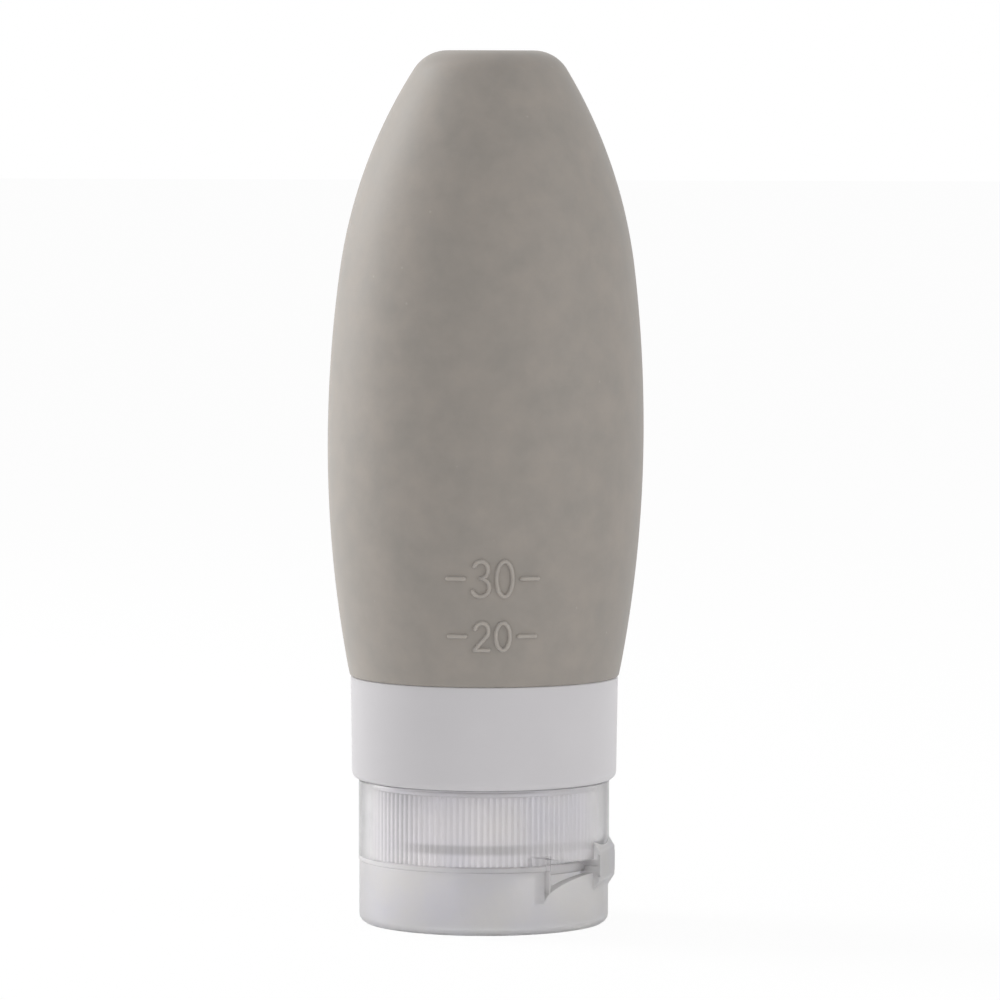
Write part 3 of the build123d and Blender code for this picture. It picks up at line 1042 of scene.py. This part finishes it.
def inner_cap_outline(knurl):
    """The inner cap's section, where its knurled wall has the given radius."""
    wall = [(knurl, ledge_top, edge), (knurl, skirt_top, edge)]
    rim = [(rim_radius, skirt_top, 0), (rim_radius, rim_height, edge), (thread_room, rim_height, edge)]
    pocket = [
        (thread_room, deck_top, edge),
        (pocket_radius, deck_top, edge),
        (pocket_radius, pocket_top, edge),
        (snap_bore, pocket_top, edge),
        (snap_bore, valve_ring_top, 0),
        (pocket_bore, valve_ring_top, 0),
        (pocket_bore, deck_top, 0),
    ]
    nozzle = [
        (nozzle_bore, deck_top, edge),
        (nozzle_bore, nozzle_tip, 2 * edge),
        (nozzle_radius, nozzle_tip, 2 * edge),
        (nozzle_radius, deck_bottom, edge),
    ]
    foot = [(thread_room, deck_bottom, edge), (thread_room, ledge_top, edge)]
    return soften(wall + rim + pocket + nozzle + foot, steps=2)


print("the outline has", len(inner_cap_outline(knurl_crest)), "points")

# %% Turn the inner cap with its ribs
knurl_count = 120
rings_per_knurl = 8

knurl_outlines = []
for step in range(rings_per_knurl):
    wave = 0.5 + 0.5 * cos(2 * pi * step / rings_per_knurl)
    knurl_outlines.append(inner_cap_outline(knurl_crest - knurl_depth * (1 - wave)))

inner_rings = []
ring_count = knurl_count * rings_per_knurl
for station in range(ring_count):
    inner_rings.append(ring_at(knurl_outlines[station % rings_per_knurl], 2 * pi * station / ring_count))
inner_cap = skin("knurled_inner_cap", inner_rings)
settle(inner_cap, "cap", "natural_plastic", ribbed, "inner_cap")

# %% [markdown]
# ## The valve, its ring and the washer
#
# A squeeze bottle that stands on its outlet needs a valve. This one is a thin silicone dome cut by
# two crossed slits, so it opens when the bottle is squeezed and shuts when it isn't. The dome is
# turned first, and then two thin blades cut it with boolean modifiers. A boolean suits this, because
# the blades cross a plain dome and meet nothing else.

# %% Turn the dome
valve_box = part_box("slit_valve")
valve_radius = valve_box[1].x
valve_foot = valve_box[0].z
valve_top = valve_box[1].z
valve_mouth = 5.0 * mm
valve_flange_top = valve_foot + 1.0 * mm
valve_skin = 0.7 * mm


def dome_side(foot_height, top_height, steps=12):
    """Points of a shallow dome from its foot to the axis."""
    rise = top_height - foot_height
    reach = (valve_mouth**2 + rise**2) / (2 * rise)
    outs = [valve_mouth * (1 - step / steps) for step in range(steps + 1)]
    return [(out, top_height - reach + sqrt(reach**2 - out**2), 0) for out in outs]


valve_flange = [(valve_radius, valve_foot, edge), (valve_radius, valve_flange_top, edge)]
outer_dome = dome_side(valve_flange_top, valve_top)
inner_dome = dome_side(valve_foot, valve_top - valve_skin)
valve = turned("slit_valve_dome", valve_flange + outer_dome + inner_dome[::-1], stations=96)

# %% Slit the dome
slit_length = 4.4 * mm
slit_width = 0.12 * mm


def blade(name, long_x, long_y):
    """A thin upright cutter through the dome."""
    half_x, half_y = long_x / 2, long_y / 2
    corners = [(-half_x, -half_y), (half_x, -half_y), (half_x, half_y), (-half_x, half_y)]
    heights = (valve_foot - edge, valve_top + edge)
    return skin(name, [[(x, y, height) for x, y in corners] for height in heights], closed=False)


for name, size in (("slit_across", (slit_length, slit_width)), ("slit_along", (slit_width, slit_length))):
    cutter = blade(name, *size)
    cut = valve.modifiers.new(name, "BOOLEAN")
    cut.operation = "DIFFERENCE"
    cut.object = cutter
    bpy.context.view_layer.objects.active = valve
    bpy.ops.object.modifier_move_to_index(modifier=name, index=0)
    bpy.ops.object.modifier_apply(modifier=name)
    bpy.data.objects.remove(cutter)
settle(valve, "cap", "clear_silicone", natural, "slit_valve")

# %% Turn the valve's ring and the sealing washer
valve_ring_bore = 5.3 * mm


def flat_ring(name, box, bore, stations, last_edge=edge):
    """A ring of square section that fills a node's box outside the bore."""
    low, high = box
    lower = [(bore, low.z, edge), (high.x, low.z, edge)]
    return turned(name, lower + [(high.x, high.z, edge), (bore, high.z, last_edge)], stations)


valve_ring = flat_ring("valve_holding_ring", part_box("valve_ring"), valve_ring_bore, 96, 2 * edge)
settle(valve_ring, "cap", "natural_plastic", hazy, "valve_ring")
washer = flat_ring("sealing_washer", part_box("neck_gasket"), neck_bore, 128)
settle(washer, "seal", "clear_silicone", natural, "neck_gasket")

# %% [markdown]
# ## The butterfly hinge
#
# The shell and the lid are turned outlines too, but their section changes on the way round. Beside
# the hinge both edges are scooped out into windows, so that the lid can swing without rubbing, and at
# the hinge each carries half of a flat raised pad. So here the outline is a function of the angle:
# the same number of points at every station, some of them moved. Where the section jumps, two rings
# stand at the same angle and the faces between them close the step. Cutting with booleans would give
# the same form, but with slivers along the curves, and clear plastic shows every sliver.
#
# Near the hinge the sections are planes parallel to the middle of the pads, because that is how the
# windows are cut. Further round they swing over to true radial sections.

# %% A point by its turn from the hinge
hinge_azimuth = radians(74)
pad_half_width = 4.2 * mm
window_half_width = 12.8 * mm
pad_turn = asin(pad_half_width / cap_radius)
window_turn = asin(window_half_width / cap_radius)
swing_over = radians(35)
swing_from = shell_bore * 0.8


def from_hinge(turn, out, height):
    """A point by its turn from the hinge's middle and its distance from the axis."""
    held = max(-window_turn, min(window_turn, turn))
    fade = 1 - min(1, max(0, (abs(turn) - window_turn) / swing_over))
    lean = 0
    if out > swing_from:
        lean = (asin(cap_radius * sin(held) / out) - held) * fade * fade * (3 - 2 * fade)
    angle = hinge_azimuth + turn + lean
    return (out * sin(angle), -out * cos(angle), height)


print("the windows end", round(window_turn * 180 / pi, 1), "degrees from the hinge")

# %% Stations round the cap
wall_stations = 260
hinge_side_stations = 28


def hinge_stations():
    """Turns from the hinge with the zone that each lies in. Zones share their end turns."""
    full = 2 * pi
    ends = (-pad_turn, pad_turn, window_turn, full - window_turn, full - pad_turn)
    stations = []
    for zone, start, end in zip(("pad", "window", "wall", "window"), ends, ends[1:]):
        count = wall_stations if zone == "wall" else hinge_side_stations
        for step in range(count + 1):
            share = step / count
            if zone != "wall":
                share = (1 - cos(pi * share)) / 2
            turn = start + (end - start) * share
            stations.append((turn - full if turn > pi else turn, zone))
    return stations


def swept_round(name, section):
    """A piece whose section changes on the way round the cap."""
    rings = []
    for turn, zone in hinge_stations():
        rings.append([from_hinge(turn, out, height) for out, height in section(turn, zone)])
    return skin(name, rings)


print("stations", len(hinge_stations()))

# %% The windows and the pad
pad_face = cap_radius + 0.4 * mm
pad_half_height = 3.5 * mm
pad_slope = 1.4 * mm
pad_root = sqrt(cap_radius**2 - pad_half_width**2)
pad_side_round = 0.2 * mm
film_thickness = 0.3 * mm
film_half_height = (film_box[1].z - film_box[0].z) / 2


def window_depth(turn, depths):
    """How far a window is cut back from the seam: a quarter of an ellipse, upright at its far end."""
    along = abs(cap_radius * sin(turn)) - pad_half_width
    share = min(1, max(0, along / (window_half_width - pad_half_width)))
    return depths[0] + (depths[1] - depths[0]) * (1 - sqrt(1 - share**2))


def pad_path(turn, wall_radius):
    """The pad's outside from the seam to where its slope meets the wall: (out, distance from seam)."""
    along = abs(cap_radius * sin(turn))
    past_round = max(0, along - (pad_half_width - pad_side_round))
    face = pad_face - pad_side_round + sqrt(max(0, pad_side_round**2 - past_round**2))
    wall = sqrt(wall_radius**2 - min(along, pad_half_width) ** 2)
    slope = (pad_face - pad_root) / pad_slope
    flat_end = pad_half_height - pad_slope
    recess = min(face, pad_face - film_thickness)
    knee = [(recess, seam_gap / 2), (recess, film_half_height), (face, film_half_height)]
    knee += [(face, flat_end), (wall, flat_end + max(0, face - wall) / slope)]
    return [(hypot(out, along), away) for out, away in knee]


print("each pad is", round(2 * pad_half_width / mm, 1), "by", round(pad_half_height / mm, 1), "mm")

# %% [markdown]
# The shell's outer wall also has a hollow for a fingertip, on the side away from the hinge, where you
# push the lid open. It is a shallow bite of a large ball, eased at its rim, so the wall needs rows of
# points close enough together to hold it.

# %% The finger hollow
scoop_radius = 12.0 * mm
scoop_depth = 0.8 * mm
scoop_height = lid_height + 1.6 * mm
scoop_ease = 0.06 * mm


def hollowed(turn, out, height):
    """The outer wall's radius, less the bite of the finger hollow."""
    centre = cap_radius - scoop_depth + scoop_radius
    aside = centre * sin(abs(turn) - pi)
    inside = scoop_radius**2 - (height - scoop_height) ** 2 - aside**2
    if abs(turn) < pi / 2 or inside <= 0:
        return out
    bite = centre * cos(abs(turn) - pi) - sqrt(inside)
    nearer = min(out, bite)
    return nearer - scoop_ease * log(exp(-(out - nearer) / scoop_ease) + exp(-(bite - nearer) / scoop_ease))


deepest = cap_radius - hollowed(pi, cap_radius, scoop_height)
print("hollow at its deepest", round(deepest / mm, 2))

# %% [markdown]
# Clear polypropylene scatters more light the thicker it is, so the shell's foot, where the ledge makes
# it three times as thick, is milkier than the wall above. The pads of the hinge are left matt in the
# mould, so that the marks of bending don't show. Both kinds of faces take the frosted material.
#
# Cycles lets no lamp shine straight through a clear material: to a lamp's ray it is a wall, so the
# ribbed ring behind it would be lit by the room alone. The real shell casts next to no shadow, and
# switching its shadow off lets the lamps reach the ribs.

# %% A helper that frosts the thick foot and the pad
beyond_wall = cap_radius + 0.01 * mm
foot_top = ledge_top + 0.05 * mm


def frost_foot(piece):
    """Gives the faces below foot_top, and those outside the round wall, the frosted material."""
    piece.data.materials.append(frosted)
    index = len(piece.data.materials) - 1
    matt_faces = 0
    for face in piece.data.polygons:
        if hypot(face.center.x, face.center.y) > beyond_wall or face.center.z < foot_top:
            face.material_index = index
            matt_faces += 1
    print(piece.name, "has", matt_faces, "frosted faces of", len(piece.data.polygons))


# %% Rows of points near the seam
low_rows = (5, 1, 2, 4)


def rows_between(knee, counts):
    """The path through the knee points, with each run divided into that many rows."""
    rows = []
    for start, end, count in zip(knee, knee[1:], counts):
        for row in range(count):
            share = row / count
            rows.append((start[0] + (end[0] - start[0]) * share, start[1] + (end[1] - start[1]) * share))
    return rows + [knee[-1]]


def seam_rows(turn, zone, wall_radius):
    """The outside near the seam: (out, distance from seam). The pad stands out only in its own zone."""
    rows = rows_between(pad_path(turn if zone == "pad" else pad_turn, wall_radius), low_rows)
    return rows if zone == "pad" else [(wall_radius, away) for _, away in rows]


print("rows near the seam", len(seam_rows(0, "pad", cap_radius)))

# %% The shell's section at a station
shell_window = (1.0 * mm, 2.2 * mm)
ledge_bore = shell_bore - 0.9 * mm
lid_radius = -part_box("lid")[0].x
lid_bore = lid_radius - 1.2 * mm
register_radius = lid_bore - 0.3 * mm
register_bottom = shell_bottom - 0.8 * mm
rim_round = 0.5 * mm
rim_top = collar_bottom - 0.06 * mm
seam_edge = 0.05 * mm
wall_rows = 16


def shell_section(turn, zone):
    """The shell's closed outline at that turn from the hinge."""
    cut = lid_height + window_depth(turn, shell_window) if zone == "window" else 0
    ledge = ledge_bore if cut < ledge_top else shell_bore
    register = register_radius if cut < ledge_top else shell_bore
    outside = [(out, lid_height + away) for out, away in seam_rows(turn, zone, cap_radius)]
    start = outside[-1][1]
    for row in range(1, wall_rows + 1):
        outside.append((cap_radius, start + (rim_top - rim_round - start) * row / wall_rows))
    corners = [
        (shell_bore, max(ledge_top, cut), 0),
        (ledge, max(ledge_top, cut), edge),
        (ledge, max(register_bottom, cut), edge),
        (register, max(register_bottom, cut), edge),
        (register, max(shell_bottom, cut), 0),
    ]
    for index, (out, height) in enumerate(outside):
        height = max(height, cut)
        corners.append((hollowed(turn, out, height), height, seam_edge if index == 0 else 0))
    return soften(corners + [(cap_radius, rim_top, rim_round), (shell_bore, rim_top, edge)])


shell = swept_round("clear_cap_shell", shell_section)
settle(shell, "cap", "clear_cap", clear, "cap_shell")
frost_foot(shell)
shell.visible_shadow = False

# %% [markdown]
# Behind each window the shell's ledge runs on, and with it the short ring that guides the lid. Without
# them you could look in at one window and out at the other. They are swept on their own, with their
# ends sunk a tenth of a millimetre in the wall, because one outline can't hold a ring and a wall that
# don't touch.

# %% Sweep the ledge behind the windows
ledge_overlap = 0.1 * mm / cap_radius
ledge_steps = 32
ledge_corners = [(ledge_bore, ledge_top, edge), (ledge_bore, register_bottom, edge)]
ledge_corners += [(register_radius, register_bottom, edge), (register_radius, ledge_top, edge)]
ledge_outline = soften(ledge_corners)


def ledge_piece(name, side):
    """The ledge and the guide ring behind the window on one side of the hinge."""
    start = pad_turn - ledge_overlap
    reach = window_turn + ledge_overlap - start
    rings = []
    for step in range(ledge_steps + 1):
        turn = side * (start + reach * step / ledge_steps)
        rings.append([from_hinge(turn, out, height) for out, height in ledge_outline])
    return skin(name, rings, closed=False)


window_ledges = joined("window_ledges", [ledge_piece(f"ledge_{side}", side) for side in (-1, 1)])
settle(window_ledges, "cap", "clear_cap", frosted)

# %% [markdown]
# ## The flip lid
#
# The lid is a shallow cup with the plug ring in its middle that shuts the nozzle. Its outside edge is
# well rounded where the bottle stands on it. Its section changes at the hinge just as the shell's
# does, upside down.

# %% The lid's section at a station
lid_window = (1.0 * mm, 4.6 * mm)
lid_top = lid_height - seam_gap / 2
lid_floor = 1.3 * mm
lid_edge_round = 1.25 * mm
lid_inner_round = 0.6 * mm
plug_radius = nozzle_bore - 0.1 * mm
plug_bore = plug_radius - 1.0 * mm
plug_tip = nozzle_tip + 1.6 * mm
plug_round = 0.3 * mm


def lid_section(turn, zone):
    """The lid's closed outline at that turn from the hinge."""
    cut = lid_height - window_depth(turn, lid_window) if zone == "window" else lid_top
    outside = seam_rows(turn, zone, lid_radius)
    corners = [(0, 0, 0), (lid_radius, 0, lid_edge_round), (lid_radius, 2 * lid_edge_round, 0)]
    for index, (out, away) in enumerate(reversed(outside)):
        height = min(lid_height - away, cut)
        corners.append((out, height, seam_edge if index == len(outside) - 1 else 0))
    cup = [(lid_bore, cut, edge), (lid_bore, lid_floor, lid_inner_round)]
    plug = [
        (plug_radius, lid_floor, edge),
        (plug_radius, plug_tip, plug_round),
        (plug_bore, plug_tip, plug_round),
        (plug_bore, lid_floor, edge),
    ]
    return soften(corners + cup + plug + [(0, lid_floor, 0)])


lid = swept_round("clear_flip_lid", lid_section)
settle(lid, "lid", "clear_cap", frosted, "lid")

# %% [markdown]
# ## The living hinge
#
# The hinge itself is a strip of the same plastic, three tenths of a millimetre thick, let flush into
# both pads. The real one bends where the seam is and nowhere else. The strip's rows of points stand
# close to the seam on both sides.

# %% Make the film
film_out = (pad_face - film_thickness, pad_face)
fold_rows = {0: 0.02 * mm, 1: 0.1 * mm}
film_steps = 12


def beside_hinge(out, along, height):
    """A point by how far it lies from the axis towards the hinge, and how far along the hinge."""
    return (
        out * sin(hinge_azimuth) + along * cos(hinge_azimuth),
        -out * cos(hinge_azimuth) + along * sin(hinge_azimuth),
        height,
    )


def film_point(side, along, height):
    """A point of the film on its inner (0) or outer (1) face."""
    return beside_hinge(film_out[side], along, lid_height + height)


film_rings = []
for step in range(film_steps + 1):
    along = pad_half_width * (2 * step / film_steps - 1)
    inset = edge if step in (0, film_steps) else 0
    ring = []
    for side, heights in ((1, (-1, 1)), (0, (1, -1))):
        for way in heights:
            far = way * (film_half_height - inset)
            near = way * fold_rows[side]
            spots = (far, (far + near) / 2, near) if way == heights[0] else (near, (far + near) / 2, far)
            ring += [film_point(side, along, height) for height in spots]
    film_rings.append(ring)
film = skin("living_hinge_film", film_rings, closed=False)
film.data.materials.append(frosted)
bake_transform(film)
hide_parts("hinge_film")

# %% [markdown]
# ## Ribs at the windows' far ends
#
# A thin upright rib stands in each window near its far end, half on the shell and half on the lid. In
# the photograph it is the fine bright line beside the window's straight edge. The halves meet at the
# seam and part when the lid opens.

# %% Stand the window ribs
rib_along = 12.05 * mm
rib_half_width = 0.35 * mm / 2
rib_outer = cap_radius - 0.15 * mm
rib_inner = cap_radius - 1.0 * mm
rib_overlap = 0.4 * mm
rib_corners = [(rib_inner, -rib_half_width, edge), (rib_outer, -rib_half_width, edge)]
rib_corners += [(rib_outer, rib_half_width, edge), (rib_inner, rib_half_width, edge)]
rib_outline = soften(rib_corners)


def rib(name, side, low, high):
    """An upright rib with rounded edges across the wall, at one end of the hinge."""
    rings = []
    for height in (low, high):
        ring = []
        for out, aside in rib_outline:
            ring.append(beside_hinge(sqrt(out**2 - rib_along**2), side * (rib_along + aside), height))
        rings.append(ring)
    return skin(name, rings, closed=False)


def rib_pair(part, low, high):
    """The ribs of one part, at both ends of the hinge."""
    return joined(f"{part}_window_ribs", [rib(f"{part}_rib_{side}", side, low, high) for side in (-1, 1)])


rib_turn = asin(rib_along / cap_radius)
shell_cut = lid_height + window_depth(rib_turn, shell_window)
lid_cut = lid_height - window_depth(rib_turn, lid_window)
shell_ribs = rib_pair("shell", shell_bottom, shell_cut + rib_overlap)
settle(shell_ribs, "cap", "clear_cap", clear)
shell_ribs.visible_shadow = False
lid_ribs = rib_pair("lid", lid_cut - rib_overlap, lid_top)
settle(lid_ribs, "lid", "clear_cap", frosted)

# %% [markdown]
# ## The studio
#
# The photograph has the white surround of a product picture and one broad soft light from the left.
# The floor is a wide pale sheet. To the camera the surroundings show as white, and so they do in
# reflections and through the clear cap, while the light that falls on the object stays at a plain
# level. The floor still takes the object's soft shadow.

# %% A helper that tells the camera's own rays from the light's
white = (1, 1, 1, 1)


def seen_by_eye(tree, straight, through):
    """A value for what the camera sees itself, and one for what it sees mirrored or through plastic."""
    path = add_node(tree, "ShaderNodeLightPath").outputs
    bent = reckon(tree, "MAXIMUM", path["Is Glossy Ray"], path["Is Transmission Ray"])
    bent_share = reckon(tree, "MULTIPLY", bent, through)
    direct_share = reckon(tree, "MULTIPLY", path["Is Camera Ray"], straight)
    return reckon(tree, "MAXIMUM", direct_share, bent_share)


# %% The floor
floor_half = 6.0
floor_colour = (0.93, 0.93, 0.93, 1)
floor_white_share = 0.94
floor_white_through = 0.3

floor_corners = [(x * floor_half, y * floor_half, 0) for x, y in ((-1, -1), (1, -1), (1, 1), (-1, 1))]
floor = placed("studio_floor", bpy.data.meshes.new("studio_floor"))
floor.data.from_pydata(floor_corners, [], [(0, 1, 2, 3)])

floor_material = bpy.data.materials.new("pale_floor")
floor_material.use_nodes = True
floor_tree = floor_material.node_tree
floor_tree.nodes.clear()
floor_matte = add_node(floor_tree, "ShaderNodeBsdfDiffuse", [("Color", floor_colour)])
floor_white = add_node(floor_tree, "ShaderNodeEmission", [("Color", white), ("Strength", 1.0)])
floor_share = seen_by_eye(floor_tree, floor_white_share, floor_white_through)
floor_parts = [("Fac", floor_share), (1, floor_matte.outputs[0]), (2, floor_white.outputs[0])]
floor_mix = add_node(floor_tree, "ShaderNodeMixShader", floor_parts)
add_node(floor_tree, "ShaderNodeOutputMaterial", [("Surface", floor_mix.outputs[0])])
floor.data.materials.append(floor_material)
print("floor", 2 * floor_half, "m wide")

# %% The surrounding light
ambient_level = 0.68

world = bpy.data.worlds.new("soft_surround")
bpy.context.scene.world = world
world.use_nodes = True
world_tree = world.node_tree
world_tree.nodes.clear()
world_level = ramp(world_tree, seen_by_eye(world_tree, 1.0, 1.0), 0.0, 1.0, ambient_level, 1.0, "LINEAR")
world_light = add_node(world_tree, "ShaderNodeBackground", [("Color", white), ("Strength", world_level)])
add_node(world_tree, "ShaderNodeOutputWorld", [("Surface", world_light.outputs[0])])
print("surround at", ambient_level)

# %% The lamps
def soft_light(name, place, size, power):
    """A square soft light that points at the middle of the bottle."""
    lamp = bpy.data.lights.new(name, "AREA")
    lamp.shape = "RECTANGLE"
    lamp.size, lamp.size_y = size
    lamp.energy = power
    holder = placed(name, lamp)
    holder.location = place
    aim = Vector((0, 0, bottle_top / 2)) - holder.location
    holder.rotation_euler = aim.to_track_quat("-Z", "Y").to_euler()


soft_light("left_softbox", place=(-0.56, 0.24, 0.38), size=(0.3, 0.6), power=4.0)
soft_light("right_fill", place=(0.6, -0.35, 0.25), size=(0.4, 0.5), power=1.1)
bpy.context.scene.view_settings.view_transform = "Standard"
print("lights", [lamp.name for lamp in bpy.data.lights])
